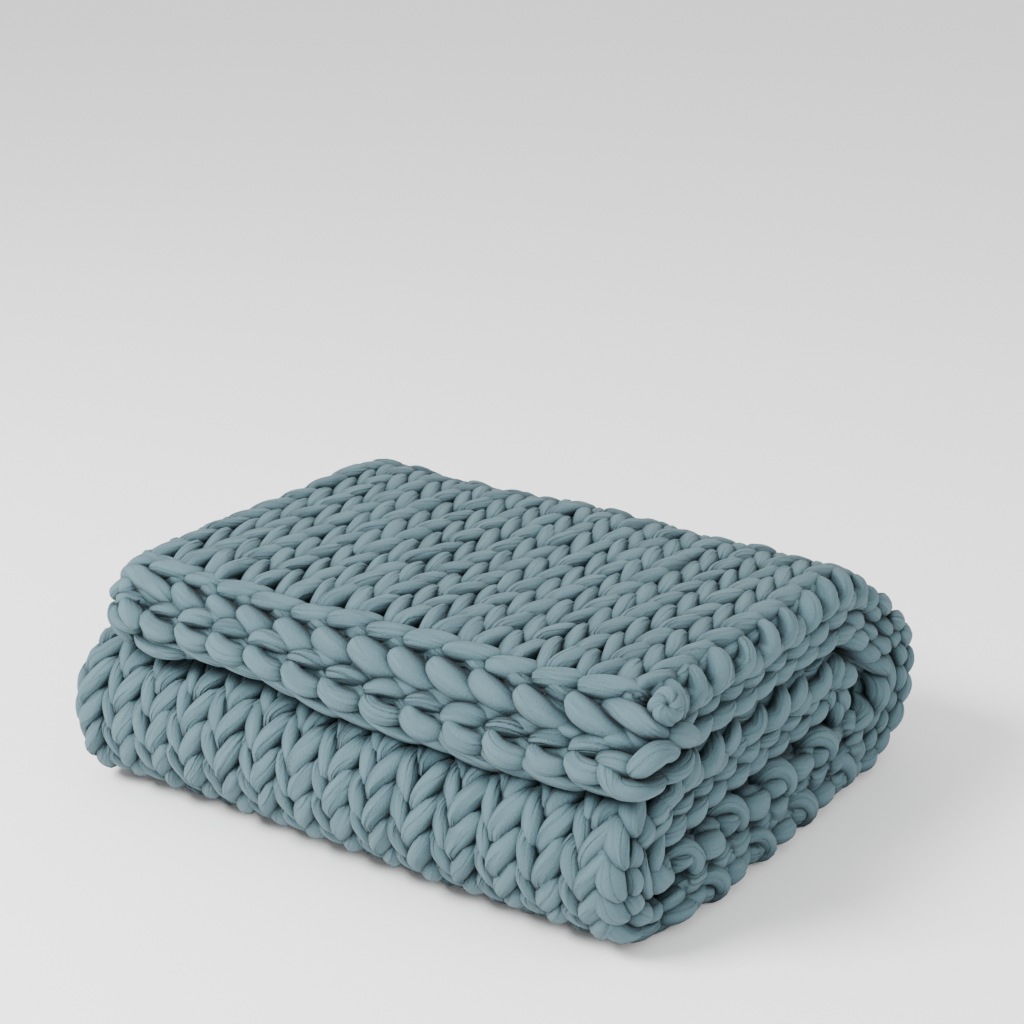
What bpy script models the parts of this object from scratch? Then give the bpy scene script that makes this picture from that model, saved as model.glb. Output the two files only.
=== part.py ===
"""Chunky hand-knitted weighted blanket, folded in half and rolled in three, as one solid of cloth.

The blanket is one thick knitted sheet. It is folded in half across its width, so that the fold lies at
the left end (-X) and both side edges at the right end (+X). That doubled strip is then rolled up along
its length: from the front hem over the top, down round the back, forwards underneath, up round the
front and back inside, where its far hem ends. The solid follows that path with the cloth's own
thickness, so six layers lie one over another, a little apart.
"""
import math

import bpy
import numpy as np

MM = 0.001
PITCH = 40.0            # from one layer of cloth to the next, mm
CLOTH = 37.5            # thickness of the knitted cloth, mm
HALF = CLOTH / 2.0
CHAIN_SWELL = 1.05      # the chained hems are a little thicker than the cloth
OUTER_HEM_BACK = 27.0   # the outer layer's front hem stands this far behind the inner one's, mm
INNER_TAIL_SHORT = 34.0  # and inside the roll the outer layer's end is tucked down past the inner one's, mm
HEM_DROP = 8.6          # the front hem lies this much lower than the top run, mm
START_Y = -88.0         # front hem of the inner layer, mm
HEEL_RADIUS = 57.86     # closes the back round on the bottom run, mm
ORIGIN = (266.08, 159.51, 1.226)  # middle of the underside in the lengths used below, mm

# The doubled strip's centre line, as runs from the front hem to the inner hem. A straight run has a
# length and no turn, a fold has a radius and a turn in degrees (all turn the same way, as in a roll).
# left and right are where the strip's ends are at the end of the run, and squeeze its thickness there.
COLUMNS = ("name", "length", "radius", "turn", "left", "right", "squeeze")
RUNS = (
    ("front hem", 0.0, 222.0, 16.0, -18.0, 584.0, 1.00),
    ("top", 281.0, 0.0, 0.0, -8.0, 590.0, 1.00),
    ("shoulder", 0.0, 107.4, 40.0, -4.0, 592.0, 1.00),
    ("slope", 66.0, 0.0, 0.0, -8.0, 595.0, 1.00),
    ("back", 0.0, 45.15, 50.0, -16.0, 595.0, 1.00),
    ("heel", 0.0, HEEL_RADIUS, 90.0, -36.0, 593.0, 1.00),
    ("bottom", 363.0, 0.0, 0.0, -62.0, 580.0, 1.00),
    ("front fold", 0.0, PITCH, 180.0, -64.0, 577.0, 1.00),
    ("middle", 298.0, 0.0, 0.0, -62.0, 586.0, 0.91),
    ("tuck", 0.0, 6.0, 90.0, -60.0, 586.0, 0.91),
    ("tail", 22.0, 0.0, 0.0, -58.0, 586.0, 0.91),
)
START_LEFT = -44.0
START_RIGHT = 582.0

# Stations along the strip per run, and how the cloth's rim rounds off (share of the half thickness).
STATIONS = (3, 8, 5, 2, 4, 6, 9, 12, 8, 5, 2)
RIM_IN = (0.0, 0.12, 0.45, 1.0)
RIM_THICK = (0.30, 0.55, 0.84, 1.0)
RUN_COLUMNS = 11        # columns of faces across each layer's flat part
FOLD_COLUMNS = 8        # and round the fold at the left end

CLOTH_COLOUR = (0.255, 0.352, 0.392, 1.0)


def clear_scene():
    """Take away whatever a new Blender file starts with."""
    for thing in list(bpy.data.objects):
        bpy.data.objects.remove(thing, do_unlink=True)


def ease(x):
    """A smooth step from 0 to 1."""
    x = np.clip(x, 0.0, 1.0)
    return x * x * (3.0 - 2.0 * x)


def strip_path(step=2.0):
    """The strip's centre line: distance, y, z, heading, left end, right end and squeeze, every step mm."""
    rows = [dict(zip(COLUMNS, row)) for row in RUNS]
    heading = math.radians(rows[0]["turn"])
    here = [0.0, START_Y, 5.0 * PITCH - HEM_DROP, heading, START_LEFT, START_RIGHT, 1.0]
    points = [here]
    ends = [0.0]
    for row in rows:
        turn = -math.radians(row["turn"])
        length = row["length"] if row["turn"] == 0.0 else row["radius"] * abs(turn)
        count = max(2, round(length / step))
        first = points[-1]
        for k in range(count):
            last = points[-1]
            middle = first[3] + turn * (k + 0.5) / count
            part = float(ease((k + 1) / count))
            points.append([
                last[0] + length / count,
                last[1] + math.cos(middle) * length / count,
                last[2] + math.sin(middle) * length / count,
                first[3] + turn * (k + 1) / count,
                first[4] + (row["left"] - first[4]) * part,
                first[5] + (row["right"] - first[5]) * part,
                first[6] + (row["squeeze"] - first[6]) * part,
            ])
        ends.append(points[-1][0])
    return np.array(points).T, ends


def settle(points):
    """The soft unevenness of a heavy knitted cloth: small waves that die out at the floor."""
    x, y, z = points[..., 0], points[..., 1], points[..., 2]
    lift = np.clip(z / (6.0 * PITCH), 0.0, 1.0)
    wave = 2.4 * np.sin(x / 71.0 + 0.4) * np.sin(y / 83.0) + 1.6 * np.sin(x / 39.0 + y / 57.0 + 1.0)
    across = 3.0 * np.sin(y / 64.0 + z / 45.0)
    along = 2.5 * np.sin(x / 88.0 + z / 60.0)
    return np.stack([x + across, y + along, z + lift * wave], axis=-1)


def cloth_point(path, around, part, offset):
    """A point of the cloth: around runs 0..1 from the outer layer's side edge round the fold to the
    inner layer's, part runs 0..1 from the front hem to the inner hem, offset is along the face side."""
    inner = ease((around - 0.47) / 0.08)
    start = OUTER_HEM_BACK * (1.0 - inner)
    end = path[0, -1] - INNER_TAIL_SHORT * inner
    way = start + (end - start) * part
    y, z, heading, left, right, squeeze = (np.interp(way, path[0], row) for row in path[1:])
    bend = PITCH / 2.0
    flat = right - left - bend - HALF
    run = around * (2.0 * flat + math.pi * bend)
    angle = np.clip((run - flat) / bend, 0.0, math.pi)
    centre = left + HALF + bend
    back = centre + run - flat - math.pi * bend
    x = np.where(run < flat, right - run, np.where(angle < math.pi, centre - np.sin(angle) * bend, back))
    depth = np.cos(angle) * bend
    x = x - offset * np.sin(angle)
    depth = (depth + offset * np.cos(angle)) * squeeze
    point = np.stack([x, y - np.sin(heading) * depth, z + np.cos(heading) * depth], axis=-1)
    return settle(point) - np.array(ORIGIN)


def across_samples(path):
    """Columns round the strip, close together at the two side edges and round the fold."""
    flat = 560.0 + 20.0
    total = 2.0 * flat + math.pi * PITCH / 2.0
    rim = np.array(RIM_IN) * HALF / total
    first = np.linspace(rim[-1], flat / total, RUN_COLUMNS + 1)
    fold = np.linspace(flat / total, 1.0 - flat / total, FOLD_COLUMNS + 1)
    half = np.concatenate([rim[:-1], first[:-1]])
    around = np.concatenate([half, fold, (1.0 - half)[::-1]])
    thick = np.interp(np.minimum(around, 1.0 - around), rim, RIM_THICK)
    return around, thick


def along_samples(path, ends):
    """Stations along the strip, more of them where it turns, and close together at the two hems."""
    total = path[0, -1]
    stops = [np.linspace(a, b, n + 1)[:-1] for a, b, n in zip(ends[:-1], ends[1:], STATIONS)]
    inside = np.concatenate(stops)[1:] / total
    rim = np.array(RIM_IN) * HALF / total
    inside = inside[(inside > rim[-1] * 1.4) & (inside < 1.0 - rim[-1] * 1.4)]
    part = np.concatenate([rim, inside, (1.0 - rim)[::-1]])
    edge = np.minimum(part, 1.0 - part)
    swell = 1.0 + (CHAIN_SWELL - 1.0) * np.clip(1.0 - edge * total / (2.0 * CLOTH), 0.0, 1.0)
    thick = np.interp(edge, rim, RIM_THICK) * swell
    return part, thick


def sheet_mesh(face, back):
    """Vertices and faces of a closed thick sheet from the grids of its two sides."""
    rows, columns = face.shape[:2]
    count = rows * columns
    index = np.arange(count).reshape(rows, columns)
    a, b, c, d = index[:-1, :-1], index[1:, :-1], index[1:, 1:], index[:-1, 1:]
    front = np.stack([a, d, c, b], axis=-1).reshape(-1, 4)
    rear = np.stack([a, b, c, d], axis=-1).reshape(-1, 4) + count
    rim = np.concatenate([index[0, :-1], index[:-1, -1], index[-1, :0:-1], index[:0:-1, 0]])
    after = np.roll(rim, -1)
    side = np.stack([rim, rim + count, after + count, after], axis=-1)
    points = np.concatenate([face.reshape(-1, 3), back.reshape(-1, 3)]) * MM
    return points, np.concatenate([front, rear, side])


def cloth_material():
    """Soft matt cotton jersey, dusty blue grey."""
    material = bpy.data.materials.new("cotton_jersey_yarn")
    material.use_nodes = True
    shader = material.node_tree.nodes["Principled BSDF"]
    shader.inputs["Base Color"].default_value = CLOTH_COLOUR
    shader.inputs["Roughness"].default_value = 0.9
    shader.inputs["Metallic"].default_value = 0.0
    return material


def build_blanket():
    """The folded blanket as one named object."""
    path, ends = strip_path()
    around, thick_across = across_samples(path)
    part, thick_along = along_samples(path, ends)
    grid_around, grid_part = np.meshgrid(around, part, indexing="ij")
    thick = HALF * thick_across[:, None] * thick_along[None, :]
    face = cloth_point(path, grid_around, grid_part, thick)
    back = cloth_point(path, grid_around, grid_part, -thick)
    points, faces = sheet_mesh(face, back)
    mesh = bpy.data.meshes.new("knit_blanket")
    mesh.from_pydata(points.tolist(), [], faces.tolist())
    mesh.update()
    blanket = bpy.data.objects.new("knit_blanket", mesh)
    blanket.data.materials.append(cloth_material())
    bpy.context.scene.collection.objects.link(blanket)
    return blanket


clear_scene()
build_blanket()
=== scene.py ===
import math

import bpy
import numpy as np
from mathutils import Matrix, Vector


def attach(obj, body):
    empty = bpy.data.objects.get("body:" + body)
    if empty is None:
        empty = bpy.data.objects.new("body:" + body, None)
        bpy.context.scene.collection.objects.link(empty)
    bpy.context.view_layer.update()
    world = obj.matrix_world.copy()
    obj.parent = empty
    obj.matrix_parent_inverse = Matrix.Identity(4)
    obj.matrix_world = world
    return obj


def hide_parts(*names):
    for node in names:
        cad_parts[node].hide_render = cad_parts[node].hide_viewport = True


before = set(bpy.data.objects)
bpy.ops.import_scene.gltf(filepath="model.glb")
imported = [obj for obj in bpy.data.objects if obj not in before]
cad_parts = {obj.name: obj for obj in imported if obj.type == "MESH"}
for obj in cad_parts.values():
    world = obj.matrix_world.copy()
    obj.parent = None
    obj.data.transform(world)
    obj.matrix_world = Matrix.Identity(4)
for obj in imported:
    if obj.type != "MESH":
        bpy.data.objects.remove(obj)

# %% [markdown]
# A chunky hand-knitted weighted blanket, built yarn by yarn.
#
# The real blanket is knitted by hand from one very thick yarn: a tube of cotton jersey about 25 mm
# across, filled so that it is heavy and plump. One stitch is about 40 mm wide. At that size every loop
# is a form of its own, so the loops are made as swept tubes.
#
# The blanket lies folded in half across its width and then rolled in three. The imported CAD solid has
# that shape as one thick sheet. The first cells work the same sheet out as a function, and everything
# knitted is then drawn on it, strand by strand.

MM = 0.001
TURN = 2.0 * math.pi   # a full turn, radians
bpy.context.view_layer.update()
rng = np.random.default_rng(17)


def ease(x):
    """A smooth step from 0 to 1: 3x^2 - 2x^3, held at its ends."""
    x = np.clip(x, 0.0, 1.0)
    return x * x * (3.0 - 2.0 * x)


def new_object(name, data):
    """A new object in the scene."""
    thing = bpy.data.objects.new(name, data)
    bpy.context.scene.collection.objects.link(thing)
    return thing


def running(steps):
    """Running sums, with 0 before the first step."""
    return np.concatenate([[0.0], np.cumsum(steps)])


# %% [markdown]
# The sheet of cloth. The doubled strip runs along a line in the Y-Z plane: from the front hem over the
# top, down round the back, forwards underneath, up round the front and back inside. Each run of that
# line is straight or a part of a circle, so its direction changes evenly with distance, and its points
# are running sums of the cosine and sine of that direction. The lengths are those of the CAD part.

# %%  The line that the doubled cloth follows
PITCH = 40.0             # from one layer of cloth to the next, mm
HALF = 18.75             # half the thickness of the knitted cloth, mm
HEM_BACK = 27.0          # the outer layer's front hem stands this far behind the inner one's, mm
TAIL_SHORT = 34.0        # and inside the roll the inner layer ends this much sooner, mm
START = (-88.0, 5.0 * PITCH - 8.6)        # y and z of the front hem, mm
ORIGIN = np.array((266.08, 159.51, 1.226))  # middle of the underside in these lengths, mm
STEP = 1.0               # between two points of the line, mm
FIRST_TURN = 16.0        # the line rises this steeply at the front hem, degrees
SPARE = (120.0, 60.0)    # how far the line is carried on before its start and past its end, mm

RUNS = (  # name, length, radius, turn in degrees, left end, right end, squeeze at the run's end
    ("front hem", 0, 222, 16, -18, 584, 1.00),
    ("top", 281, 0, 0, -8, 590, 1.00),
    ("shoulder", 0, 107.4, 40, -4, 592, 1.00),
    ("slope", 66, 0, 0, -8, 595, 1.00),
    ("back", 0, 45.15, 50, -16, 595, 1.00),
    ("heel", 0, 57.86, 90, -36, 593, 1.00),
    ("bottom", 363, 0, 0, -62, 580, 1.00),
    ("front fold", 0, PITCH, 180, -64, 577, 1.00),
    ("middle", 298, 0, 0, -62, 586, 0.91),
    ("tuck", 0, 6, 90, -60, 586, 0.91),
    ("tail", 22, 0, 0, -58, 586, 0.91),
)
length = np.array([row[1] + row[2] * math.radians(row[3]) for row in RUNS])
stops = running(length)
directions = np.radians(FIRST_TURN - running([row[3] for row in RUNS]))
widths = np.array([(-44.0, 582.0, 1.0)] + [row[4:] for row in RUNS])

way_line = np.arange(-SPARE[0], stops[-1] + SPARE[1], STEP)
heading_line = np.interp(way_line, stops, directions)
middle = np.interp(way_line[:-1] + STEP / 2.0, stops, directions)
y_line = running(np.cos(middle) * STEP)
z_line = running(np.sin(middle) * STEP)
y_line += START[0] - np.interp(0.0, way_line, y_line)
z_line += START[1] - np.interp(0.0, way_line, z_line)
run_line = np.clip(np.searchsorted(stops, way_line, side="right") - 1, 0, len(RUNS) - 1)
share = run_line + ease((way_line - stops[run_line]) / length[run_line])
left_line, right_line, squeeze_line = (np.interp(share, np.arange(len(stops)), w) for w in widths.T)
bend_line = -np.gradient(heading_line, STEP)
print("strip is", round(stops[-1]), "mm long")

# %% [markdown]
# A point of the cloth. `across` is the distance in mm from the outer layer's side edge, round the fold
# at the left end, to the inner layer's side edge. `way` is the distance along the line above, and
# `out` the height over the middle of the cloth, on its knitted face. A knitted edge curls away from
# its face, so past the outer layer's side edge the cloth turns down round a small radius.
#
# The top flap isn't straight at its front. Its heavy chain droops by an amount that differs from place
# to place, and at the left it is drawn in round the folded corner.

# %%  From cloth coordinates to the folded blanket
EDGE_IN = 27.0      # the flat knitting of the outer layer stops this far inside the solid's side, mm
RECESS = 4.0        # the inner layer's side edge lies this much further in, mm
CURL = 6.0          # radius of the curl at a side edge, mm
CORNER_PULL = 18.0  # the folded corner of the front hem is drawn in this far, mm
PULL_FADES = 75.0   # and the pull has faded out this far back, mm
DROOP_FADES = 110.0  # the front hem's droop has faded out this far back, mm
FOLD = PITCH / 2.0  # radius of the cloth's middle round the fold at the left end, mm
WALES = 28          # stitches across the whole sheet
DROOP = (           # stitches from the outer layer's side edge, and how far the front hem droops there, mm
    (0, 0), (1.5, 0.5), (2.7, 2), (3.9, 3), (4.9, 4.7), (6, 6.5), (8.5, 6), (10, 0), (14, 0), (16, -3),
    (17, -3.5), (18, -5.5), (19, -5), (20, 3), (21, 11), (22, 14.5), (24, 16), (25.5, 15), (27, 10), (28, 4))


def flat_width(way):
    """Length across one layer, in mm, from the side edge to the start of the fold at the left end."""
    return np.interp(way, way_line, right_line - left_line) - FOLD - HALF - EDGE_IN


def whole_width(way):
    """Length across both layers and the fold, in mm."""
    return 2.0 * flat_width(way) - RECESS + math.pi * FOLD


def settle(points):
    """The unevenness of heavy knitting: low sine waves in x, y and z, of 2 to 3 mm, whose height part
    dies out at the floor. They are those of the CAD part."""
    x, y, z = points[..., 0], points[..., 1], points[..., 2]
    lift = np.clip(z / (6.0 * PITCH), 0.0, 1.0)
    wave = 2.4 * np.sin(x / 71.0 + 0.4) * np.sin(y / 83.0) + 1.6 * np.sin(x / 39.0 + y / 57.0 + 1.0)
    side = 3.0 * np.sin(y / 64.0 + z / 45.0)
    along = 2.5 * np.sin(x / 88.0 + z / 60.0)
    return np.stack([x + side, y + along, z + lift * wave], axis=-1)


def cloth(across, way, out):
    """Points of the cloth in mm. The strip's line gives a place and a direction. The cloth lies FOLD
    above it (outer layer), turns round it in a half circle, and lies FOLD below it (inner layer). Near
    the front hem the points are lowered by the droop and moved inwards at the fold by the pull."""
    y, z, heading, left, right, squeeze = (
        np.interp(way, way_line, line)
        for line in (y_line, z_line, heading_line, left_line, right_line, squeeze_line))
    flat, full = flat_width(way), whole_width(way)
    over = np.maximum(-across, across - full)
    turned = np.clip(-across / CURL, 0.0, math.pi / 2.0)
    beyond = np.maximum(-across - CURL * math.pi / 2.0, 0.0)
    reach = np.where(across > full, over, (CURL + out) * np.sin(turned))
    out = np.where(across < 0.0, (CURL + out) * np.cos(turned) - CURL - beyond, out)
    run = np.clip(across, 0.0, full)
    angle = np.clip((run - flat) / FOLD, 0.0, math.pi)
    centre = left + HALF + FOLD
    back = centre + run - flat - math.pi * FOLD
    front = right - EDGE_IN - run
    x = np.where(run < flat, front, np.where(angle < math.pi, centre - np.sin(angle) * FOLD, back))
    pulled = CORNER_PULL * ease(1.0 - way / PULL_FADES) * np.sin(angle)
    x = x - out * np.sin(angle) + np.where(over > 0.0, reach, 0.0) + pulled
    depth = np.cos(angle) * (FOLD + out) * squeeze
    droop = np.interp(across / full * WALES, *np.transpose(DROOP)) * ease(1.0 - way / DROOP_FADES)
    points = np.stack([x, y - np.sin(heading) * depth, z + np.cos(heading) * depth - droop], axis=-1)
    return settle(points) - ORIGIN


front_corner = cloth(np.array([0.0]), np.array([HEM_BACK]), np.array([0.0]))[0]
print("outer layer's front corner", np.round(front_corner), "mm")

# %% [markdown]
# Tubes. A strand of yarn is a round tube carried along a line, thick where it lies free and thin where
# other strands nip it. All strands of a kind are worked out together as one array. Each ring of points
# is set square to the line, with the cloth's own upward direction as its reference, so no tube twists.

# %%  Rings round a strand
TWIST = 0.016         # the yarn turns this much about its own line, radians per mm
YARN_RADIUS = 11.0    # radius of the straightened yarn, for the pattern on it, mm
LOBES = (1.3, 1.0, 0.6)   # shares of the waves with 2, 3 and 5 lobes round a ring
SWAY = 2.0 / 16.0     # the lobes turn this much from one ring to the next, radians
BACK_SWAY = 1.7       # and the five smallest turn the other way, this much faster
LONGEST = 900.0       # each strand starts somewhere in this length of yarn, mm


def unit(vectors):
    """Vectors of length 1."""
    return vectors / np.maximum(np.linalg.norm(vectors, axis=-1, keepdims=True), 1e-9)


def tube_rings(line, up, radius, sides, flat=1.0, lobes=0.05):
    """Rings round many lines at once: centre + radius (cos a * sideways + flat * sin a * upward), where
    sideways = tangent x up. A few shallow lobes round the ring, sums of sines of 2a, 3a and 5a, keep the
    stuffed yarn from looking turned on a lathe. With the rings come the straightened yarn's coordinates:
    a point of a circle, turned by the twist, and the distance walked along the strand."""
    tangent = unit(np.gradient(line, axis=1))
    sideways = unit(np.cross(tangent, up))
    upward = np.cross(sideways, tangent)
    angle = np.linspace(0.0, TURN, sides, endpoint=False)
    count, steps = line.shape[:2]
    phase = rng.uniform(0.0, 6.28, (count, 1, 1, 2))
    sway = np.linspace(0.0, SWAY * steps, steps)[None, :, None]
    wave = (LOBES[0] * np.sin(2.0 * angle + phase[..., 1] + sway)
            + LOBES[1] * np.sin(3.0 * angle + phase[..., 0] + sway)
            + LOBES[2] * np.sin(5.0 * angle + phase[..., 1] - BACK_SWAY * sway))
    size = (radius[..., None] * (1.0 + lobes * wave))[..., None]
    flat = np.broadcast_to(flat, radius.shape)[..., None, None]
    ring = line[:, :, None] + size * (
        np.cos(angle)[:, None] * sideways[:, :, None] + flat * np.sin(angle)[:, None] * upward[:, :, None])
    walked = np.cumsum(np.linalg.norm(np.diff(line, axis=1, prepend=line[:, :1]), axis=-1), axis=1)
    walked = walked + rng.uniform(0.0, LONGEST, (count, 1))
    twisted = angle + TWIST * walked[..., None]
    around = np.stack([np.cos(twisted), np.sin(twisted)], axis=-1) * YARN_RADIUS
    far = np.broadcast_to(walked[..., None, None], (count, steps, sides, 1))
    return ring, np.concatenate([around, far], axis=-1)


print("one turn of the yarn's twist is", round(TURN / TWIST), "mm long")

# %% [markdown]
# The rings become one closed skin for each strand, and all strands of a piece are one mesh. Two
# attributes are kept for the finish: `yarn`, the place on the straightened yarn, and `nip`, which is 0
# on plump yarn and 1 where it is pinched.

# %%  Strands of yarn as one mesh
GROUND = 0.0   # height of the floor: nothing sinks below it, mm


def tube_faces(count, steps, sides):
    """Quads between neighbouring rings, and a fan of triangles over each end to one more point."""
    index = np.arange(count * steps * sides).reshape(count, steps, sides)
    here, there = index[:, :-1], index[:, 1:]
    quads = np.stack([here, there, np.roll(there, -1, 2), np.roll(here, -1, 2)], axis=-1).reshape(-1, 4)
    tips = count * steps * sides + np.arange(2 * count).reshape(count, 2, 1)
    first, last = index[:, 0], index[:, -1]
    start = np.stack([np.broadcast_to(tips[:, 0], first.shape), first, np.roll(first, -1, 1)], axis=-1)
    end = np.stack([np.broadcast_to(tips[:, 1], last.shape), np.roll(last, -1, 1), last], axis=-1)
    return quads, np.concatenate([start.reshape(-1, 3), end.reshape(-1, 3)])


def knit_object(name, parts):
    """One mesh from several sets of tubes. Each set is (line, up, radius, sides, flat, nip). Points that
    would lie below the floor are raised to it, as yarn is pressed flat there."""
    points, straights, nips, faces, total = [], [], [], [], 0
    for line, up, radius, sides, flat, nip in parts:
        ring, straight = tube_rings(line, up, radius, sides, flat)
        count, steps = line.shape[:2]
        ends = np.stack([line[:, 0], line[:, -1]], axis=1)
        end_straight = np.stack([straight[:, 0].mean(1), straight[:, -1].mean(1)], axis=1)
        quads, fans = tube_faces(count, steps, sides)
        points += [ring.reshape(-1, 3), ends.reshape(-1, 3)]
        straights += [straight.reshape(-1, 3), end_straight.reshape(-1, 3)]
        nips += [np.repeat(nip.reshape(-1), sides), np.stack([nip[:, 0], nip[:, -1]], axis=1).ravel()]
        faces += (quads + total).tolist() + (fans + total).tolist()
        total += count * steps * sides + 2 * count
    points = np.concatenate(points)
    points[:, 2] = np.maximum(points[:, 2], GROUND)
    mesh = bpy.data.meshes.new(name)
    mesh.from_pydata(points * MM, [], faces)
    mesh.attributes.new("yarn", "FLOAT_VECTOR", "POINT").data.foreach_set(
        "vector", np.concatenate(straights).ravel() * MM)
    mesh.attributes.new("nip", "FLOAT", "POINT").data.foreach_set("value", np.concatenate(nips))
    mesh.polygons.foreach_set("use_smooth", np.ones(len(mesh.polygons), dtype=bool))
    mesh.materials.append(yarn_material)
    print(name, sum(len(face) - 2 for face in faces), "triangles")
    return new_object(name, mesh)


# %% [markdown]
# The yarn's finish: dusty blue grey cotton jersey, brushed soft. Two things show on it up close: the
# fine grain of the jersey, and lengthwise creases where a strand is nipped and the tube gathers. They
# follow the yarn, so the pattern is read from the yarn's own straightened coordinates.
#
# One function turns a hex colour into the linear numbers that a shader wants, and one adds a node.

# %%  Helpers for a material
def linear(code):
    """An sRGB hex colour as linear red, green and blue, with alpha 1."""
    srgb = np.array([int(code[i:i + 2], 16) / 255.0 for i in (1, 3, 5)])
    low, high = srgb / 12.92, ((srgb + 0.055) / 1.055) ** 2.4
    return (*np.where(srgb <= 0.04045, low, high).tolist(), 1.0)


def add_node(tree, kind, settings=None, links=None):
    """A shader node of that kind, its settings, and links to its inputs from other nodes' outputs."""
    node = tree.nodes.new("ShaderNode" + kind)
    for key, value in (settings or {}).items():
        if isinstance(key, int) or key in node.inputs:
            node.inputs[key].default_value = value
        else:
            setattr(node, key, value)
    for key, (source, output) in (links or {}).items():
        tree.links.new(source.outputs[output], node.inputs[key])
    return node


print("dusty blue grey is", [round(v, 3) for v in linear("#526B72")[:3]], "in linear light")

# %% [markdown]
# Dyed cotton is a rough, non-metallic surface with a refractive index of 1.5, and brushing leaves
# little gloss and a faint sheen. A noise that is stretched along the yarn gives the creases. Where that
# noise crosses its middle value it draws thin lines, as folds in gathered fabric do. They are let
# through only where the yarn is nipped, and there they dent it and are painted dark, as painted shade
# in the folds. The nipped ends of the strands get painted shade as well.
#
# The gaps of such a knit look very dark, because light that falls in meets the same blue grey many
# times over. So shade is painted into the colour as well: it is deepened where little open sky is seen
# from the surface, as painted shade in the gaps and crevices. The jersey's real grain, about 0.8 mm, is
# drawn twice as coarse, so that it still shows.

# %%  Cotton jersey yarn
YARN_LIGHT = "#526B72"
YARN_DARK = "#495F66"
# Painted shade: the colour that nipped ends, crease lines and gaps are painted towards.
YARN_PAINTED_SHADE = "#11242A"
CREASES = 92.0        # creases per metre round the yarn: one every 11 mm
STRETCH = 0.14        # and they are seven times as long as wide
DENTS = 55.0          # soft dents per metre: one every 18 mm
DRIFT = 22.0          # slow changes of colour per metre: one every 45 mm
GRAIN = 650.0         # grains per metre: one every 1.5 mm
CREASE_LINE = 0.09    # how wide the line of a crease is, as a share of the noise's range
# Painted shade in the gaps: the colour is deepened where a point sees little open sky.
SKY_REACH = 0.024     # open sky is judged this far round a point, m: about one yarn
SKY = (0.95, 0.41)    # share of open sky with no deepening of the colour, and with all of it
# Painted shade: how dark the crease lines and the nipped ends are painted.
CREASE_PAINTED_SHADE = 0.75    # how dark the creases' lines are
NIP_PAINTED_SHADE = 0.45       # and how dark a nipped end is


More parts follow.
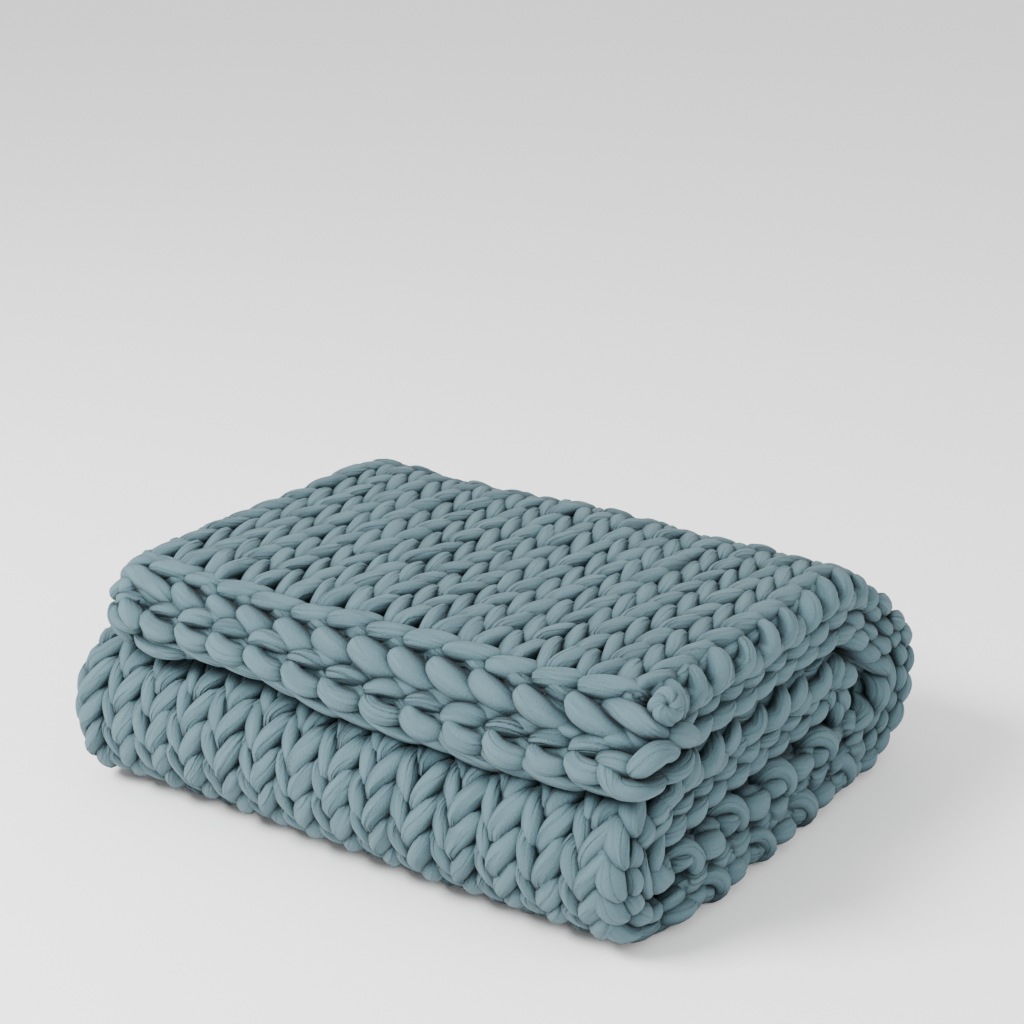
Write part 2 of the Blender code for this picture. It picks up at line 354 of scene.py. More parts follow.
def make_yarn_material():
    """Principled shader. Colour = light and dark yarn mixed by a slow noise, then mixed towards a painted
    shade colour by nip squared, crease lines and little open sky, added up: painted shade in nips, creases
    and gaps. Bump = dents, then creases, then grain."""
    material = bpy.data.materials.new("cotton_jersey_yarn")
    material.use_nodes = True
    tree = material.node_tree
    shader = tree.nodes["Principled BSDF"]
    shader.inputs["Roughness"].default_value = 0.92
    shader.inputs["IOR"].default_value = 1.5
    shader.inputs["Specular IOR Level"].default_value = 0.2
    shader.inputs["Sheen Weight"].default_value = 0.05
    shader.inputs["Sheen Roughness"].default_value = 0.5
    yarn = add_node(tree, "Attribute", {"attribute_name": "yarn"})
    nip = add_node(tree, "Attribute", {"attribute_name": "nip"})
    pulled = add_node(tree, "Mapping", {"Scale": (1.0, 1.0, STRETCH)}, {"Vector": (yarn, "Vector")})
    # Creases.
    creases = add_node(tree, "TexNoise", {"Scale": CREASES, "Detail": 1.5, "Roughness": 0.5},
                       {"Vector": (pulled, "Vector")})
    aside = add_node(tree, "Math", {"operation": "SUBTRACT", 1: 0.5}, {0: (creases, "Fac")})
    apart = add_node(tree, "Math", {"operation": "ABSOLUTE"}, {0: (aside, 0)})
    lines = add_node(tree, "MapRange",
                     {"From Max": CREASE_LINE, "interpolation_type": "SMOOTHSTEP"}, {"Value": (apart, 0)})
    height = add_node(tree, "Math", {"operation": "MULTIPLY_ADD", 1: 0.3},
                      {0: (lines, "Result"), 2: (creases, "Fac")})
    gathered = add_node(tree, "Math", {"operation": "MULTIPLY"}, {0: (height, 0), 1: (nip, "Fac")})
    # Colour.
    drift = add_node(tree, "TexNoise", {"Scale": DRIFT, "Detail": 2.0}, {"Vector": (yarn, "Vector")})
    tone = add_node(tree, "Mix", {"data_type": "RGBA", 6: linear(YARN_DARK), 7: linear(YARN_LIGHT)},
                    {"Factor": (drift, "Fac")})
    # Painted shade: towards the shade colour by nip squared, along crease lines and where little open sky is
    # seen.
    deep = add_node(tree, "Math", {"operation": "POWER", 1: 2.0}, {0: (nip, "Fac")})
    open_sky = add_node(tree, "AmbientOcclusion", {"Distance": SKY_REACH, "samples": 6})
    painted_gap_shade = add_node(tree, "MapRange", {"From Min": SKY[0], "From Max": SKY[1]},
                      {"Value": (open_sky, "AO")})
    furrow = add_node(tree, "Math", {"operation": "SUBTRACT", 0: 1.0}, {1: (lines, "Result")})
    furrows = add_node(tree, "Math", {"operation": "MULTIPLY"}, {0: (furrow, 0), 1: (nip, "Fac")})
    painted_crease_and_gap_shade = add_node(tree, "Math", {"operation": "MULTIPLY_ADD", 1: CREASE_PAINTED_SHADE},
                     {0: (furrows, 0), 2: (painted_gap_shade, "Result")})
    painted_shade = add_node(tree, "Math", {"operation": "MULTIPLY_ADD", 1: NIP_PAINTED_SHADE, "use_clamp": True},
                      {0: (deep, 0), 2: (painted_crease_and_gap_shade, 0)})
    shade = add_node(tree, "Mix", {"data_type": "RGBA", 7: linear(YARN_PAINTED_SHADE)},
                     {"Factor": (painted_shade, 0), 6: (tone, 2)})
    tree.links.new(shade.outputs[2], shader.inputs["Base Color"])
    # Bump, from coarse to fine.
    dents = add_node(tree, "TexNoise", {"Scale": DENTS, "Detail": 0.5}, {"Vector": (pulled, "Vector")})
    soft = add_node(tree, "Bump", {"Strength": 1.0, "Distance": 0.0035}, {"Height": (dents, "Fac")})
    folds = add_node(tree, "Bump", {"Strength": 1.0, "Distance": 0.013},
                     {"Height": (gathered, 0), "Normal": (soft, "Normal")})
    grain = add_node(tree, "TexNoise", {"Scale": GRAIN, "Detail": 2.0}, {"Vector": (yarn, "Vector")})
    fuzz = add_node(tree, "Bump", {"Strength": 1.0, "Distance": 0.0009},
                    {"Height": (grain, "Fac"), "Normal": (folds, "Normal")})
    tree.links.new(fuzz.outputs["Normal"], shader.inputs["Normal"])
    return material


yarn_material = make_yarn_material()
print(yarn_material.name, len(yarn_material.node_tree.nodes), "nodes")

# %% [markdown]
# Stocking stitch. Each course is one strand that snakes from side to side, deep at each loop's head
# and foot and standing out on both legs. The legs lean outwards, and they are the V's seen on the face.
# A leg is fattest in its middle, and its ends are nipped by the loops before and after.
#
# First the courses are counted along the cloth. Where the roll bends, the outer layer has further to go
# than the line and the inner layer less far, so the one gets more courses there and the other fewer.

# %%  Counting the courses
COURSE = 37.4          # one course along the cloth, mm
OUTSIDE = 38.0         # the outer layer's face lies this far outside the line, mm
INSIDE = 20.0          # and the inner layer this far inside it, mm
TIGHTEST = 0.03        # but no bend counts as tighter than this for it, 1 / mm
FOLD_PLACE = (0.47, 0.08)   # where the fold starts and how wide it is, as shares of the whole width

outer_step = 1.0 + np.maximum(bend_line[1:], 0.0) * OUTSIDE
inner_step = 1.0 - np.clip(bend_line[1:], 0.0, TIGHTEST) * INSIDE
outer_count = running(outer_step) * STEP / COURSE
inner_count = running(inner_step) * STEP / COURSE


def hem_lead(across, way):
    """How far the inner layer's part of a course lies ahead of the outer layer's, mm. It comes on
    over the fold, and is as long as the hems are apart."""
    share = np.clip((way - HEM_BACK) / (stops[-1] - HEM_BACK), 0.0, 1.0)
    lead = HEM_BACK + (TAIL_SHORT - HEM_BACK) * share
    return lead * ease((across / whole_width(way) - FOLD_PLACE[0]) / FOLD_PLACE[1])


print(round(np.ptp(np.interp([0.0, stops[-1]], way_line, outer_count))), "courses from hem to hem")

# %% [markdown]
# Now the loops themselves. Plain sine waves would give legs with two pointed ends. In the real knit a
# leg is blunt at one end and pointed at the other, so at the blunt end it comes up a little further in
# and is fat almost at once. The outer layer's first course is tucked in, under the hem's chain. Small
# random numbers, one for each half stitch and eased from one to the next, make the loops uneven.

# %%  Loops along a course
RISE = 0.95       # how far a loop reaches up and down, in courses
LIFT = 8.0        # how far a leg stands out, mm
DEEP = 12.0       # and how far in its head and foot lie, mm
TILT = 1.2        # the left leg leans out at its head and the right leg at its foot, mm
FAT = 11.2        # radius of the yarn in the middle of a leg, mm
THIN = 4.2        # and where it is nipped, mm
LEG = (0.30, 0.18, 0.45)   # |sin t| where a leg rises, later by this at its blunt end, over this much
OUTER_TUCK = -10.0  # the outer layer's first course is tucked this far in, mm
INNER_TUCK = 9.0    # and the inner layer's is lifted this far out, mm
TUCK_AT = (34.0, 16.0)   # that starts this far behind the outer hem, and is full this much nearer, mm
UNEVEN = (0.045, 1.0, 1.0)   # spread of the loops: along (courses), across (mm), in height (mm)
REACH = (0.92, 0.10)     # |cos t| where a leg's yarn gets thin, and sooner by this at its blunt end
POWER = (1.9, 1.4)       # how suddenly it does so, and more by this at its blunt end
FULLNESS = 0.75     # the smaller, the longer a leg stays fat
FATTER = 0.08       # the right leg is fatter than the left, and loops differ, by this share
PINCH = (0.89, 0.08)     # a leg's fat middle is nipped by one less this, and by more on the right leg


def courses(counted, first, last, wale_a, wale_b, steps, swing, skew, raised):
    """Lines, upward directions, radii and nip of the courses between two distances along the strip. The
    angle t grows by a full turn for each stitch: across = t + swing sin 2t + skew cos t, along = cos t,
    height = an eased |sin t|, and the radius falls with a power of |cos t|."""
    begin, end = np.interp([first, last], way_line, counted)
    number = int(round(end - begin))
    row = begin + (np.arange(number) + 0.5) * (end - begin) / number
    rings = int((wale_b - wale_a) * steps) + 1
    t = np.linspace(TURN * wale_a - math.pi, TURN * wale_b - math.pi, rings)[None, :]
    wale = t / TURN + 0.5 + swing * np.sin(2.0 * t) + skew * np.cos(t)
    stitch = np.clip(t / TURN + 0.5, 0, WALES - 0.01)
    loose = rng.normal(0.0, 1.0, (3, number, 2 * WALES + 2))
    half = stitch * 2.0
    low = np.floor(half).astype(int)
    mix = ease(half - low)
    pick = np.arange(number)[:, None]
    wobble = loose[:, pick, low] * (1.0 - mix) + loose[:, pick, low + 1] * mix
    along = row[:, None] + RISE * np.cos(t) + UNEVEN[0] * wobble[0]
    way = np.interp(along, counted, way_line)
    across = wale / WALES * whole_width(way) + UNEVEN[1] * wobble[1]
    if wale_a == 0:
        way = way - hem_lead(across, way)
    leg = np.abs(np.sin(t))
    right_leg = ease(0.5 - np.sin(t) * 4.0)        # 0 on the left leg, 1 on the right one
    side = 2.0 * right_leg - 1.0                   # -1 on the left leg, 1 on the right one
    blunt = ease(0.5 + 2.5 * np.cos(t) * side)     # 0 at a leg's pointed end, 1 at its blunt end
    tucked = OUTER_TUCK if wale_a == 0 else INNER_TUCK
    out = ((LIFT + DEEP) * ease((leg - LEG[0] - LEG[1] * blunt) / LEG[2]) - DEEP + TILT * np.sin(2.0 * t)
           + raised * side * leg + UNEVEN[2] * wobble[2]
           + tucked * ease((HEM_BACK + TUCK_AT[0] - way) / TUCK_AT[1]))
    thin = np.abs(np.cos(t) / (REACH[0] - REACH[1] * blunt)) ** (POWER[0] + POWER[1] * blunt)
    fat = np.clip(1.0 - thin, 0.0, 1.0) ** FULLNESS
    radius = THIN + (FAT - THIN) * fat * (1.0 + FATTER * wobble[1] + FATTER * side)
    line = cloth(across, way, out)
    up = unit(cloth(across, way, out + 1.0) - line)
    nip = np.clip(1.0 - fat * (PINCH[0] - PINCH[1] * right_leg), 0.0, 1.0)
    return line, up, radius, np.broadcast_to(nip, radius.shape)


print("a leg stands out", LIFT, "mm and its yarn is", 2.0 * FAT, "mm thick")

# %% [markdown]
# The knitting is made in runs, so that the top and the front get fine tubes and what is hidden in the
# roll gets coarse ones. The outer layer and the fold are 16 stitches wide, and the inner layer is the
# other 12. Round the front the loops hang a little the other way, which is what a negative skew gives.

# %%  Knitting the layers
pieces = []
TOP_END, BACK_END, FRONT_END = 430.0, 1000.0, stops[8] + 10.0   # where the outer layer's runs end, mm


def course_piece(name, counted, first, last, wale_a, wale_b, steps, sides,
                 swing=0.23, skew=0.105, raised=0.4):
    """One piece: the courses from first to last (mm), between two stitches, steps rings a stitch."""
    line, up, radius, nip = courses(counted, first, last, wale_a, wale_b, steps, swing, skew, raised)
    pieces.append(knit_object(name, [(line, up, radius, sides, 0.95, nip)]))


course_piece("outer_knit_top", outer_count, HEM_BACK + 28.0, TOP_END, 0, 16, 36, 14)
course_piece("outer_knit_back", outer_count, TOP_END, BACK_END, 0, 16, 24, 10)
course_piece("outer_knit_front", outer_count, BACK_END, FRONT_END, 0, 16, 40, 14, 0.25, -0.08, 1.0)
course_piece("outer_knit_inside", outer_count, FRONT_END, stops[-1], 0, 16, 16, 8)
course_piece("inner_knit", inner_count, 26.0, stops[-1] - TAIL_SHORT, 16, 28, 16, 8)

# %% [markdown]
# Single strands. The hems and the side edges are made of short lengths of yarn that lie like the
# leaves of a braid. Each kind is a small table of points along one strand, and a smooth curve
# (Catmull-Rom) is passed through the rows. The same strand is then repeated along the edge.

# %%  One strand, repeated along an edge
TIP = (14, 0.09)      # power with which a strand's end rounds off, and least share of its radius, squared
THICKER = 0.05        # spread of the strands' radii, as a share
LEAST_NIP = 0.12      # how nipped their plump middle is


def through(rows, steps):
    """Points on a Catmull-Rom curve through the rows of a table, one column each. Between two rows b
    and c it is the cubic whose slopes at b and c are half of c - a and half of d - b."""
    rows = np.array(rows, dtype=float)
    ends = np.vstack([2.0 * rows[0] - rows[1], rows, 2.0 * rows[-1] - rows[-2]])
    place = np.linspace(0.0, len(rows) - 1.0, steps)
    k = np.minimum(place.astype(int), len(rows) - 2)
    f = (place - k)[:, None]
    a, b, c, d = ends[k], ends[k + 1], ends[k + 2], ends[k + 3]
    return 0.5 * (2.0 * b + (c - a) * f + (2.0 * a - 5.0 * b + 4.0 * c - d) * f ** 2
                  + (3.0 * b - a - 3.0 * c + d) * f ** 3).T


def rounded(radius):
    """Radii that close at both ends of a strand, as on a fingertip: r sqrt(1 - p^14), p from -1 to 1."""
    place = np.linspace(-1.0, 1.0, radius.shape[-1])
    return radius * np.sqrt(np.clip(1.0 - place ** TIP[0], TIP[1], 1.0))


def nip_of(radius, most, least, thin=5.0, more=6.5):
    """How nipped a strand is: least + most where its radius is thin (mm), least where it is more."""
    return np.clip(1.0 - (radius - thin) / more, 0.0, 1.0) * most + least


def leaves(rows, place, number, steps=18, sides=14, flat=1.0, crease=0.6, loose=(0.8, 0.8, 0.7),
           facing=0.0):
    """Many strands of one kind. place(side, along, out) turns the table's first three columns, with
    one row per strand, into points; the fourth column is the radius. Each strand is off by about
    loose (mm). Its upward direction is out, or with facing=1 away from the edge, for upright strands.
    crease says how strongly its thin ends are creased, and so how much shade is painted on them."""
    side, along, out, radius = through(rows, steps)
    drawn = rng.normal(0.0, 1.0, (4, number, 1))
    side, along, out = (column + size * much
                        for column, size, much in zip((side, along, out), drawn, loose))
    radius = radius * (1.0 + THICKER * drawn[3])
    line = place(side, along, out)
    up = unit(place(side - facing, along, out + 1.0 - facing) - line)
    return line, up, rounded(radius), sides, flat, nip_of(radius, crease, LEAST_NIP)


print("a strand's tip keeps", round(math.sqrt(TIP[1]), 2), "of its radius")

# %% [markdown]
# The front hem is bound off as a chain. On the outer layer each link shows two strands: a fat one that
# runs slantwise down over the edge, and a flatter one on top. On the inner layer the same chain is
# seen from its other side: fat rounded loops, a smooth strand on them, and small arches and the
# knitting's first purl bumps behind. Each kind of strand is one small table.

# %%  The strands of a chained hem
HEM_UNDER = (  # along the hem, back from it, out, and radius, all in mm
    (-6, 13, -6, 9.5), (5, 7, -8, 12.8), (19, 4, -13, 13.3), (35, 5, -20, 12), (51, 10, -26, 9.5),
    (64, 17, -30, 5))
HEM_OVER = (
    (2, 17, 2, 6), (9, 18, 5, 9.5), (24, 21, 6, 11), (40, 25, 5, 10.5), (53, 29, 2, 8), (62, 31, -4, 4.5))
INNER_LOOP = (
    (5, 24, 0, 5), (-3, 16, -8, 7.5), (1, 7, -12, 9.7), (11, 2, -9, 10.5), (22, 2, -7, 10.2),
    (31, 6, -6, 8.5), (37, 14, -5, 5))
INNER_STRAND = (
    (-6, 14, -11, 4.5), (-3, 7, -5, 8), (10, 4, 1, 9.5), (28, 4, 6, 9), (46, 6, 9, 7.5), (62, 12, 8, 4.5))
INNER_ARCH = (
    (-14, 21, -8, 5), (-8, 16, -17, 8), (3, 17, -22, 9), (14, 21, -20, 9), (22, 27, -12, 6))
INNER_PURL = (
    (-14, 32, -10, 5), (-4, 29, -19, 9), (10, 28, -22, 10.5), (24, 30, -20, 9.5), (36, 34, -10, 5))
print("a hem's fat strand is up to", 2.0 * max(row[3] for row in HEM_UNDER), "mm thick")

# %% [markdown]
# The links are laid along the hem one stitch apart. At the right end of the outer hem they crowd
# together and rise, because the chain is drawn up there to be tied off. Plain wavy strands behind the
# links fill the gaps, as the yarn behind a real chain does.

# %%  Laying the chain along a hem
LINKS = 13                   # links of each hem
OUTER_FIRST = 1.9            # the outer hem's first link, in stitches from the side edge
CROWDED = (0.72, 4.5)        # it moves this much nearer to it, fading out after so many stitches
DRAWN_UP = (11.0, 3.0)       # and rises this far (mm), fading out after so many stitches
INNER_FIRST = 14.9           # the inner hem's first link, just past the fold
LAST_GAP = 4.0               # and no strand of it comes nearer to its side edge than this, mm
CORE_STEP = 6.0              # from ring to ring of a plain wavy strand, mm
CORE_WAVES = (2.5, 3.0, 2.0)   # how far it waves: back from a hem, in from a side edge, and out, mm
CORE_UP = 20.0               # its upward direction is towards a point this far out, mm


def on_outer_hem(side, along, out):
    """From the table's columns to the outer layer's front hem, link by link from the right end."""
    link = np.arange(LINKS)[:, None] + OUTER_FIRST
    link = link - CROWDED[0] * ease(1.0 - link / CROWDED[1])
    across = link / WALES * whole_width(HEM_BACK) - side
    way = HEM_BACK + along
    risen = out + DRAWN_UP[0] * ease(1.0 - link / DRAWN_UP[1])
    return cloth(across, way - hem_lead(across, way), risen)


def on_inner_hem(side, along, out):
    """And to the inner layer's front hem, from the fold to the right end."""
    link = np.arange(LINKS)[:, None] + INNER_FIRST
    across = np.minimum(link / WALES * whole_width(0.0) + side, whole_width(0.0) - LAST_GAP)
    return cloth(across, along, out)


def wavy(across, way, out, wave, radius, swell, nip):
    """A plain strand whose height waves with cos wave, and its radius and nip about with sin wave."""
    line = cloth(across, way, out + CORE_WAVES[2] * np.cos(wave))
    up = unit(cloth(across, way, out + CORE_UP) - line)
    return line, up, radius + swell * np.sin(wave + 1.0), 10, 1.0, nip + 0.2 * np.sin(wave)


def hem_core(first, last, behind_hem, out):
    """The strand behind a hem's links, from first to last across (mm), with one wave a stitch."""
    across = np.arange(first, last, CORE_STEP)[None, :]
    wave = across / whole_width(0.0) * WALES * TURN
    way = HEM_BACK + behind_hem + CORE_WAVES[0] * np.sin(wave)
    return wavy(across, way - hem_lead(across, way), out, wave, 10.0, 1.2, 0.5)


print("links are", round(whole_width(0.0) / WALES, 1), "mm apart")

# %% [markdown]
# Both hems are put together from their tables. The outer one has two cores, because its chain stands
# further out over the edge.

# %%  The two front hems
hem_loose = (1.2, 0.8, 0.7)   # how much the links differ: along the hem, back from it and out, mm
fold_end = whole_width(0.0) / 2.0
pieces.append(knit_object("outer_hem", [
    leaves(HEM_UNDER, on_outer_hem, LINKS, 24, crease=0.3, loose=hem_loose),
    leaves(HEM_OVER, on_outer_hem, LINKS, 24, flat=0.9, loose=hem_loose),
    hem_core(34.0, fold_end, 20.0, -3.0),
    hem_core(30.0, fold_end, 14.0, -16.0)]))
pieces.append(knit_object("inner_hem", [
    leaves(INNER_LOOP, on_inner_hem, LINKS, 24, crease=0.3, loose=hem_loose),
    leaves(INNER_STRAND, on_inner_hem, LINKS, 24, crease=0.3, loose=hem_loose),
    # The arches and purl bumps are creased more, which also paints more shade on them under the hem.
    leaves(INNER_ARCH, on_inner_hem, LINKS, 20, crease=0.75, loose=hem_loose),
    leaves(INNER_PURL, on_inner_hem, LINKS, 20, crease=0.9, loose=hem_loose),
    hem_core(fold_end, whole_width(0.0) - 14.0, 16.0, -8.0)]))

# %% [markdown]
# The side edges. Knitting curls back at its sides, so the last half stitch of the outer layer turns
# down over the edge: one plump strand for each course, with its top in the row of holes and its lower
# end slanting forwards. The inner layer's edge lies further in and shows as a row of pointed strands.
#
# On the top flap these strands slant over the edge, and round the back and inside the roll they lie more
# along it. Underneath, where the stack's weight presses the edge flat, it opens into rings with a knob
# in each and a broad leaf between them.

# %%  The strands of the side edges
OUTER_SIDE = (  # inwards from the edge, along it, out, and radius, all in mm
    (5, 18, 1, 6), (-1, 14, 6, 9.5), (-7, 6, 7, 11.3), (-12, -3, 6, 11), (-17, -10, 3, 8.5),
    (-20, -15, 0, 5))
BACK_SIDE = (
    (6, 24, 0, 6), (-1, 18, 4, 9), (-9, 7, 5, 11), (-13, -6, 4, 11), (-14, -16, 1, 8.5), (-13, -23, -2, 5))
MIDDLE_SIDE = (
    (4, 27, 8, 6), (-2, 20, 9, 9.5), (-7, 9, 8, 11.3), (-11, -3, 5, 11), (-14, -14, 0, 8.5),
    (-15, -21, -4, 5))
FRONT_SIDE = (
    (9, 26, 1, 5), (6, 18, 6, 9), (2, 5, 8, 11), (-3, -9, 8, 11), (-8, -21, 5, 8.5), (-12, -29, 0, 5))
OUTER_UNDERSIDE = (
    (6, -24, -10, 4), (-3, -15, -11, 8), (-9, -3, -11, 10.8), (-9, 9, -9, 10), (-5, 19, -6, 7),
    (3, 27, -3, 3.5))
INNER_SIDE = (
    (10, -26, 8, 4), (0, -18, 8, 8), (-8, -6, 6, 10.5), (-13, 7, 4, 11), (-14, 19, 0, 7.5),
    (-12, 28, -4, 3.5))
INNER_UNDERSIDE = (
    (10, -26, -8, 4), (0, -17, -9, 8), (-7, -5, -11, 10.3), (-12, 8, -13, 10.3), (-12, 19, -16, 7),
    (-10, 27, -18, 3.5))
BOTTOM_SWIRL = (
    (4, 14, -1, 5), (-3, 14, -10, 8), (-10, 5, -16, 9), (-16, -8, -14, 9.5), (-20, -17, -4, 9.5),
    (-18, -19, 6, 9), (-12, -13, 11, 7.5), (-3, -5, 11, 5))
BOTTOM_RING = (
    (4, 14, 4, 5), (-2, 13, 13, 8), (-8, 3, 18, 9.5), (-13, -9, 15, 10), (-17, -18, 5, 10),
    (-16, -20, -6, 9), (-10, -16, -14, 6))
BOTTOM_KNOB = (
    (4, 12, 0, 7), (-6, 8, 1, 10), (-13, 2, 1, 10.5), (-17, -5, 2, 8.5), (-13, -10, 3, 6))
BOTTOM_LEAF = (
    (0, 22, 2, 5), (-10, 14, 2, 10), (-16, 1, 1, 12), (-16, -13, 1, 10), (-8, -24, 2, 5))
print("a ring underneath reaches", -min(row[0] for row in BOTTOM_SWIRL), "mm past the flat knitting")

# %% [markdown]
# There is one strand for each course, so the count of courses gives their places. The top flap's edge
# and the one inside the roll follow the cloth's own curl. The others stand straight out to the side.

# %%  Rows along a side edge
SIDE_LOOSE = (1.2, 1.5, 1.2)   # how much the strands differ: inwards, along and out, mm
LATER = 0.1                    # a strand of the outer layer lies this many courses after its row
UNDER = 0.5                    # and one underneath this many


def rows_between(first, last, counted, each=1.0):
    """Places along the strip between two distances, one for each so many courses, in courses."""
    begin, end = np.interp([first, last], way_line, counted)
    number = int(round((end - begin) / each))
    return (begin + (np.arange(number) + 0.5) * (end - begin) / number)[:, None]


def outer_edge(rows, curl):
    """From the table's columns to the outer layer's side edge, curled down over it or straight out."""
    def place(side, along, out):
        way = np.interp(rows + along / COURSE, outer_count, way_line)
        if curl:
            return cloth(side, way, out)
        points = cloth(np.maximum(side, 0.0), way, out)
        points[..., 0] += np.maximum(-side, 0.0)
        return points
    return place


def inner_edge(rows):
    """And to the inner layer's."""
    def place(side, along, out):
        way = np.interp(rows + along / COURSE, inner_count, way_line)
        return cloth(whole_width(way) - side, way, out)
    return place


def edge_row(table, rows, place, crease=0.4, flat=1.0, facing=0.0):
    """One strand of a kind for each row."""
    return leaves(table, place, len(rows), crease=crease, flat=flat, loose=SIDE_LOOSE, facing=facing)


def selvedge(first, last, outer, inwards=7.0, out=0.0):
    """The edge strand itself, behind the others, with one wave a course. Its middle lies inwards from
    the edge, or past it where that is below 0, and at the height out, both in mm."""
    way = np.arange(first, last, CORE_STEP)[None, :]
    wave = way / COURSE * TURN
    side = inwards + CORE_WAVES[1] * np.sin(wave)
    inside = np.maximum(side, 0.0)
    across = inside if outer else whole_width(way) - inside
    strand = wavy(across, way, out, wave, 13.0, 1.5, 0.4)
    strand[0][..., 0] += inside - side
    return strand


bottom_start, bottom_end = stops[6] + 10.0, stops[7] - 20.0
roll_start = stops[8] - 10.0
upper = rows_between(HEM_BACK + 16.0, TOP_END, outer_count)
behind = rows_between(TOP_END, bottom_start, outer_count)
rounding = rows_between(bottom_end, roll_start, outer_count)
lower = rows_between(roll_start, stops[-1], outer_count)
swirls = rows_between(bottom_start, bottom_end, outer_count, 2.0)
inner = np.concatenate([rows_between(14.0, bottom_start, inner_count),
                        rows_between(bottom_end, stops[-1] - TAIL_SHORT, inner_count)])
rings = rows_between(bottom_start, bottom_end, inner_count, 2.0) + 1.0
print(len(upper), "courses on the flap's edge,", len(swirls), "rings underneath")

# %% [markdown]
# The side edges make three pieces: the outer layer's, the part of it that the stack lies on, and the
# inner layer's.

# %%  The side edges
pieces.append(knit_object("outer_side", [
    edge_row(OUTER_SIDE, upper, outer_edge(upper + LATER, True), 0.3),
    edge_row(BACK_SIDE, behind, outer_edge(behind + LATER, False), 0.3),
    edge_row(MIDDLE_SIDE, lower, outer_edge(lower + LATER, True), 0.3),
    edge_row(FRONT_SIDE, rounding, outer_edge(rounding, False), 0.3),
    *[edge_row(OUTER_UNDERSIDE, rows, outer_edge(rows + UNDER, False))
      for rows in (rounding, upper, behind, lower)],
    selvedge(HEM_BACK + 14.0, stops[-1], True),
    selvedge(stops[8], stops[-1], True, 3.0, 9.0)]))
pieces.append(knit_object("bottom_side", [
    edge_row(BOTTOM_SWIRL, swirls, outer_edge(swirls, False), 0.3, facing=1.0),
    edge_row(BOTTOM_KNOB, swirls, outer_edge(swirls, False), 0.4),
    edge_row(BOTTOM_LEAF, swirls, outer_edge(swirls + 1.0, False), 0.3),
    edge_row(OUTER_UNDERSIDE, swirls, outer_edge(swirls + 1.0, False)),
    selvedge(bottom_start, bottom_end, True, -9.0, 0.0),
    selvedge(bottom_start, bottom_end, True, -7.0, -18.0)]))
pieces.append(knit_object("inner_side", [
    edge_row(INNER_SIDE, inner, inner_edge(inner), 0.35, 1.05),
    edge_row(INNER_UNDERSIDE, inner, inner_edge(inner + UNDER), 0.4, 1.05),
    edge_row(BOTTOM_RING, rings, inner_edge(rings), 0.3, facing=1.0),
    edge_row(BOTTOM_KNOB, rings, inner_edge(rings), 0.4),
    edge_row(BOTTOM_LEAF, rings, inner_edge(rings + 1.0), 0.3),
    selvedge(20.0, stops[-1] - TAIL_SHORT, False),
    selvedge(bottom_start, bottom_end, False, -4.0, 2.0)]))

# %% [markdown]
# The knot. Where the bound-off hem meets the side edge, the end of the yarn is tied off in a fat round
# knot. It shows as a ball of lobes that all dive into one dimple. Each lobe is an arc of yarn that
# leaves the dimple, goes over the ball's shoulder and under it, and swings a little round the axis.

# %%  The knot at the front corner
KNOT_PLACE = np.array((309.0, -205.5, 228.5))
KNOT_AXIS = unit(np.array((0.46, -0.68, 0.57)))
KNOT_LOBES = 5
KNOT_UNEVEN = (0.08, 0.06)   # spread of the lobes' places (radians) and radii (share)
KNOT = (  # from the axis (mm), along the axis (mm), turn round it (degrees), radius (mm)
    (1, 4, 0, 2.5), (3.5, 8, 20, 4.8), (7, 7, 48, 6.8), (9, 1, 74, 7.2), (8, -7, 96, 6.2), (4, -12, 110, 3.5))


def knot_strands():
    """Arcs round an axis: centre + away (cos a, sin a) across the axis + height along it, with each lobe
    a fifth of a turn further on."""
    away, height, turned, radius = through(KNOT, 22)
    angle = np.radians(turned) + np.linspace(0.0, TURN, KNOT_LOBES, endpoint=False)[:, None]
    angle = angle + rng.normal(0.0, KNOT_UNEVEN[0], (KNOT_LOBES, 1))
    first = unit(np.cross(KNOT_AXIS, (0.0, 0.0, 1.0)))
    second = np.cross(KNOT_AXIS, first)
    round_axis = np.cos(angle)[..., None] * first + np.sin(angle)[..., None] * second
    line = KNOT_PLACE + away[:, None] * round_axis + height[:, None] * KNOT_AXIS
    up = unit(line - KNOT_PLACE)
    radius = radius * (1.0 + rng.normal(0.0, KNOT_UNEVEN[1], (KNOT_LOBES, 1)))
    return line, up, radius, 14, 1.0, nip_of(radius, 0.3, 0.05, thin=3.5, more=4.0)


pieces.append(knit_object("corner_knot", [knot_strands()]))

# %% [markdown]
# At the two front corners the hem turns round, and a few strands lie there that are repeated nowhere
# else: broad leaves where the bound-off edge rounds the folded corner, and the last loops of the inner
# layer's hem, which lap over one another at the open corner. No rule gives them, so each has its own
# few points.

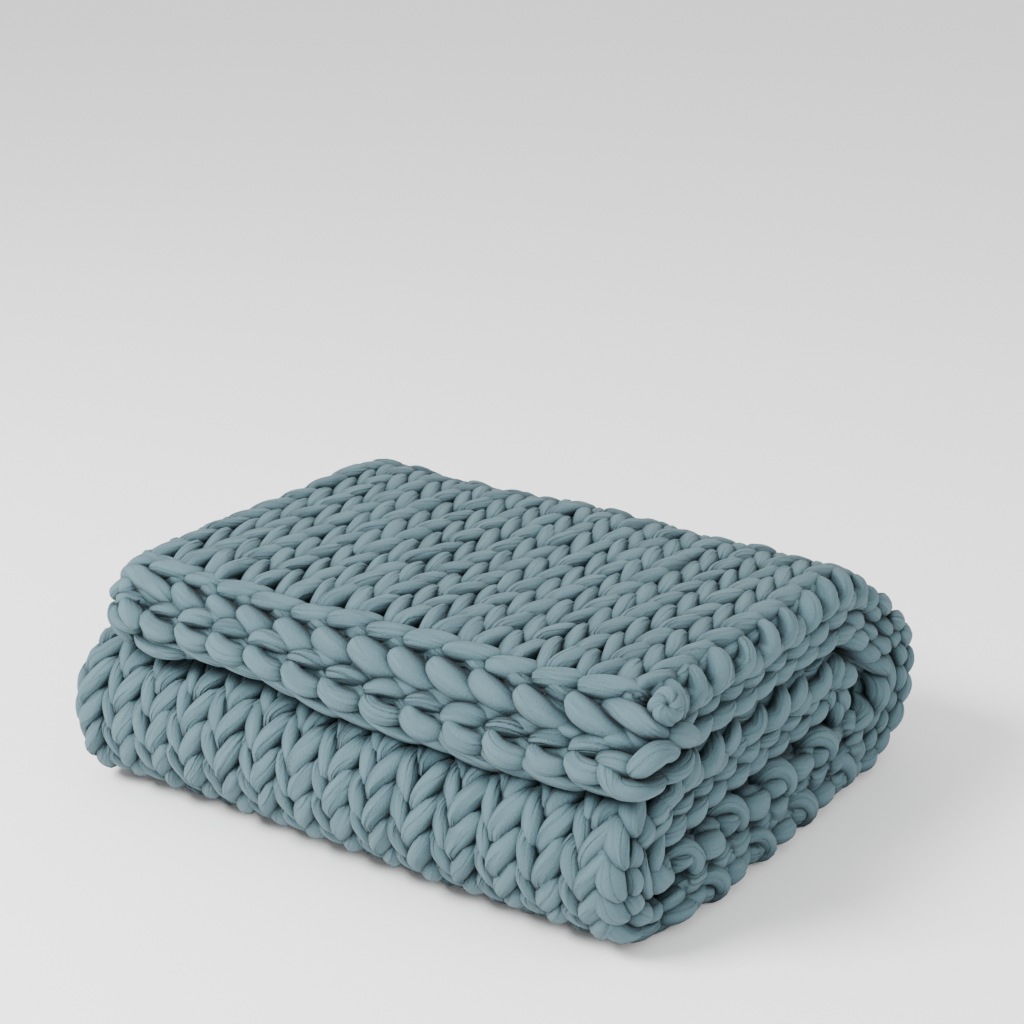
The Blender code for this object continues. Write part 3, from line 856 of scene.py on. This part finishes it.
# %%  The strands of the front corners
FREE = {  # x, y, z (mm) and radius (mm) along each strand
    "last loop": ((271, -236, 183, 6), (279, -244, 175, 9.5), (291, -248, 169, 10), (306, -246, 169, 9.5),
        (312, -228, 168, 8.5), (309, -208, 166, 5)),
    "last arch": ((262, -234, 180, 5), (272, -237, 183, 8), (284, -238, 184, 9.5), (296, -236, 182, 9),
        (304, -231, 176, 6)),
    "last leaf": ((297, -242, 181, 5), (305, -243, 188, 9), (312, -237, 195, 10.5), (314, -221, 196, 10),
        (315, -206, 190, 8.5), (312, -200, 180, 5)),
    "leaf under it": ((304, -214, 167, 5), (311, -203, 167, 9.5), (315, -188, 170, 9.5),
        (312, -168, 174, 4.5)),
    "leaf behind": ((303, -212, 204, 7), (312, -203, 203, 10.8), (316, -186, 197, 11), (314, -165, 186, 7)),
    "hem end": ((250, -206, 217, 6), (267, -212, 219, 9.5), (286, -217, 217, 11), (302, -218, 213, 10.5),
        (315, -211, 206, 6)),
    "hem end under": ((262, -208, 201, 7), (281, -213, 199, 10), (297, -216, 198, 10.5), (311, -210, 198, 6)),
    "knot neck": ((288, -186, 220, 6), (297, -191, 224, 8), (305, -196, 227, 8), (309, -202, 228, 7)),
    "hem end over": ((246, -190, 215, 6), (256, -183, 219, 8.5), (268, -178, 221, 9), (281, -176, 220, 8.5),
        (292, -178, 216, 5)),
    "corner leaf": ((-280, -212, 210, 8), (-257, -216, 214, 12), (-237, -220, 212, 12.3),
        (-217, -223, 208, 10), (-198, -220, 200, 5)),
    "corner wrap": ((-248, -212, 214, 7), (-262, -219, 207, 10.5), (-274, -222, 198, 10.5),
        (-281, -216, 191, 8.5), (-282, -209, 185, 5)),
    "corner over": ((-266, -208, 219, 6), (-257, -202, 224, 8), (-240, -200, 226, 8.5), (-222, -199, 225, 8),
        (-206, -196, 219, 5)),
    "corner core": ((-275, -204, 203, 8), (-245, -207, 198, 12), (-215, -209, 195, 12),
        (-190, -209, 192, 8)),
    "corner bean": ((-256, -236, 197, 6), (-246, -242, 193, 10), (-235, -245, 187, 11), (-229, -244, 179, 8)),
    "corner post": ((-273, -232, 191, 5), (-268, -239, 182, 7.5), (-260, -243, 175, 8),
        (-248, -244, 168, 7.5), (-238, -243, 163, 5)),
    "corner cord": ((-240, -238, 173, 5), (-230, -242, 165, 8), (-214, -244, 162, 9), (-194, -243, 163, 8.5),
        (-174, -240, 166, 5)),
}
FLAP_MIDDLE = np.array([0.0, -100.0, 120.0])   # a point inside the stack, below the flap's middle, mm


def free_strand(rows, steps=24):
    """One strand through its own table of places, with its upward side turned away from the middle."""
    x, y, z, radius = through(rows, steps)
    line = np.stack([x, y, z], axis=-1)[None]
    up = unit(line - FLAP_MIDDLE)
    return line, up, rounded(radius[None]), 14, 0.95, nip_of(radius[None], 0.4, 0.1)


pieces.append(knit_object("corner_strands", [free_strand(rows) for rows in FREE.values()]))

# %% [markdown]
# Everything is part of the one folded blanket, which has no moving parts. So all of it rides on one
# body, stands for the CAD cloth and has one finish.

# %%  Riding and replacing
for piece in pieces:
    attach(piece, "root")
    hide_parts("knit_blanket")
print(len(pieces), "pieces ride on the root")

# %% [markdown]
# The studio is plain: a pale matt floor and a white sky. The floor lies half a millimetre below the
# blanket, so that the two never share a plane.

# %%  Floor and sky
FLOOR = (9.0, -0.0005)   # half the floor's side and its height, m

material = bpy.data.materials.new("studio_floor")
material.use_nodes = True
shader = material.node_tree.nodes["Principled BSDF"]
shader.inputs["Base Color"].default_value = linear("#FBFBFB")
shader.inputs["Roughness"].default_value = 0.9
shader.inputs["Specular IOR Level"].default_value = 0.1

corners = [(x * FLOOR[0], y * FLOOR[0], FLOOR[1]) for x, y in ((-1, -1), (1, -1), (1, 1), (-1, 1))]
floor_mesh = bpy.data.meshes.new("studio_floor")
floor_mesh.from_pydata(corners, [], [(0, 1, 2, 3)])
floor_mesh.materials.append(material)
floor = new_object("studio_floor", floor_mesh)

world = bpy.data.worlds.new("studio")
world.use_nodes = True
sky = world.node_tree.nodes["Background"]
sky.inputs["Color"].default_value = (1.0, 1.0, 1.0, 1.0)
sky.inputs["Strength"].default_value = 1.2
bpy.context.scene.world = world
print("floor", 2.0 * FLOOR[0], "m wide")

# %% [markdown]
# The sky alone would leave the knit flat. A large soft light from the front left models the plump
# loops, and a weak one from the right keeps the side from going dull.

# %%  Lights
AIM = Vector((0.0, 0.0, 0.1))   # both lights face the middle of the stack


def soft_light(name, place, size, power):
    """A square area light at a place, facing AIM. Sizes in m, power in W."""
    lamp = bpy.data.lights.new(name, "AREA")
    lamp.size = size
    lamp.energy = power
    thing = new_object(name, lamp)
    thing.location = place
    thing.rotation_euler = (AIM - Vector(place)).to_track_quat("-Z", "Y").to_euler()
    print(name, "light", power, "W")


soft_light("key", (-1.1, -2.0, 2.3), size=1.2, power=219.0)
soft_light("fill", (2.6, 0.2, 1.3), size=2.0, power=42.0)

# %% [markdown]
# The camera stands to the right of the front and looks down a little, from about two metres away. Its
# place is the point that it looks at, plus the distance times the direction back from there.

# %%  Camera
AZIMUTH, ELEVATION, DISTANCE = math.radians(33.8), math.radians(21.0), 2.181
TARGET = Vector((-0.0365, 0.0865, 0.230))
backwards = Vector((math.sin(AZIMUTH) * math.cos(ELEVATION), -math.cos(AZIMUTH) * math.cos(ELEVATION),
                    math.sin(ELEVATION)))
lens = bpy.data.cameras.new("camera")
lens.lens = 77.3
lens.sensor_width = 36.0
camera = new_object("camera", lens)
camera.location = TARGET + backwards * DISTANCE
camera.rotation_euler = (-backwards).to_track_quat("-Z", "Y").to_euler()
bpy.context.scene.camera = camera
print("camera at", [round(v, 2) for v in camera.location])
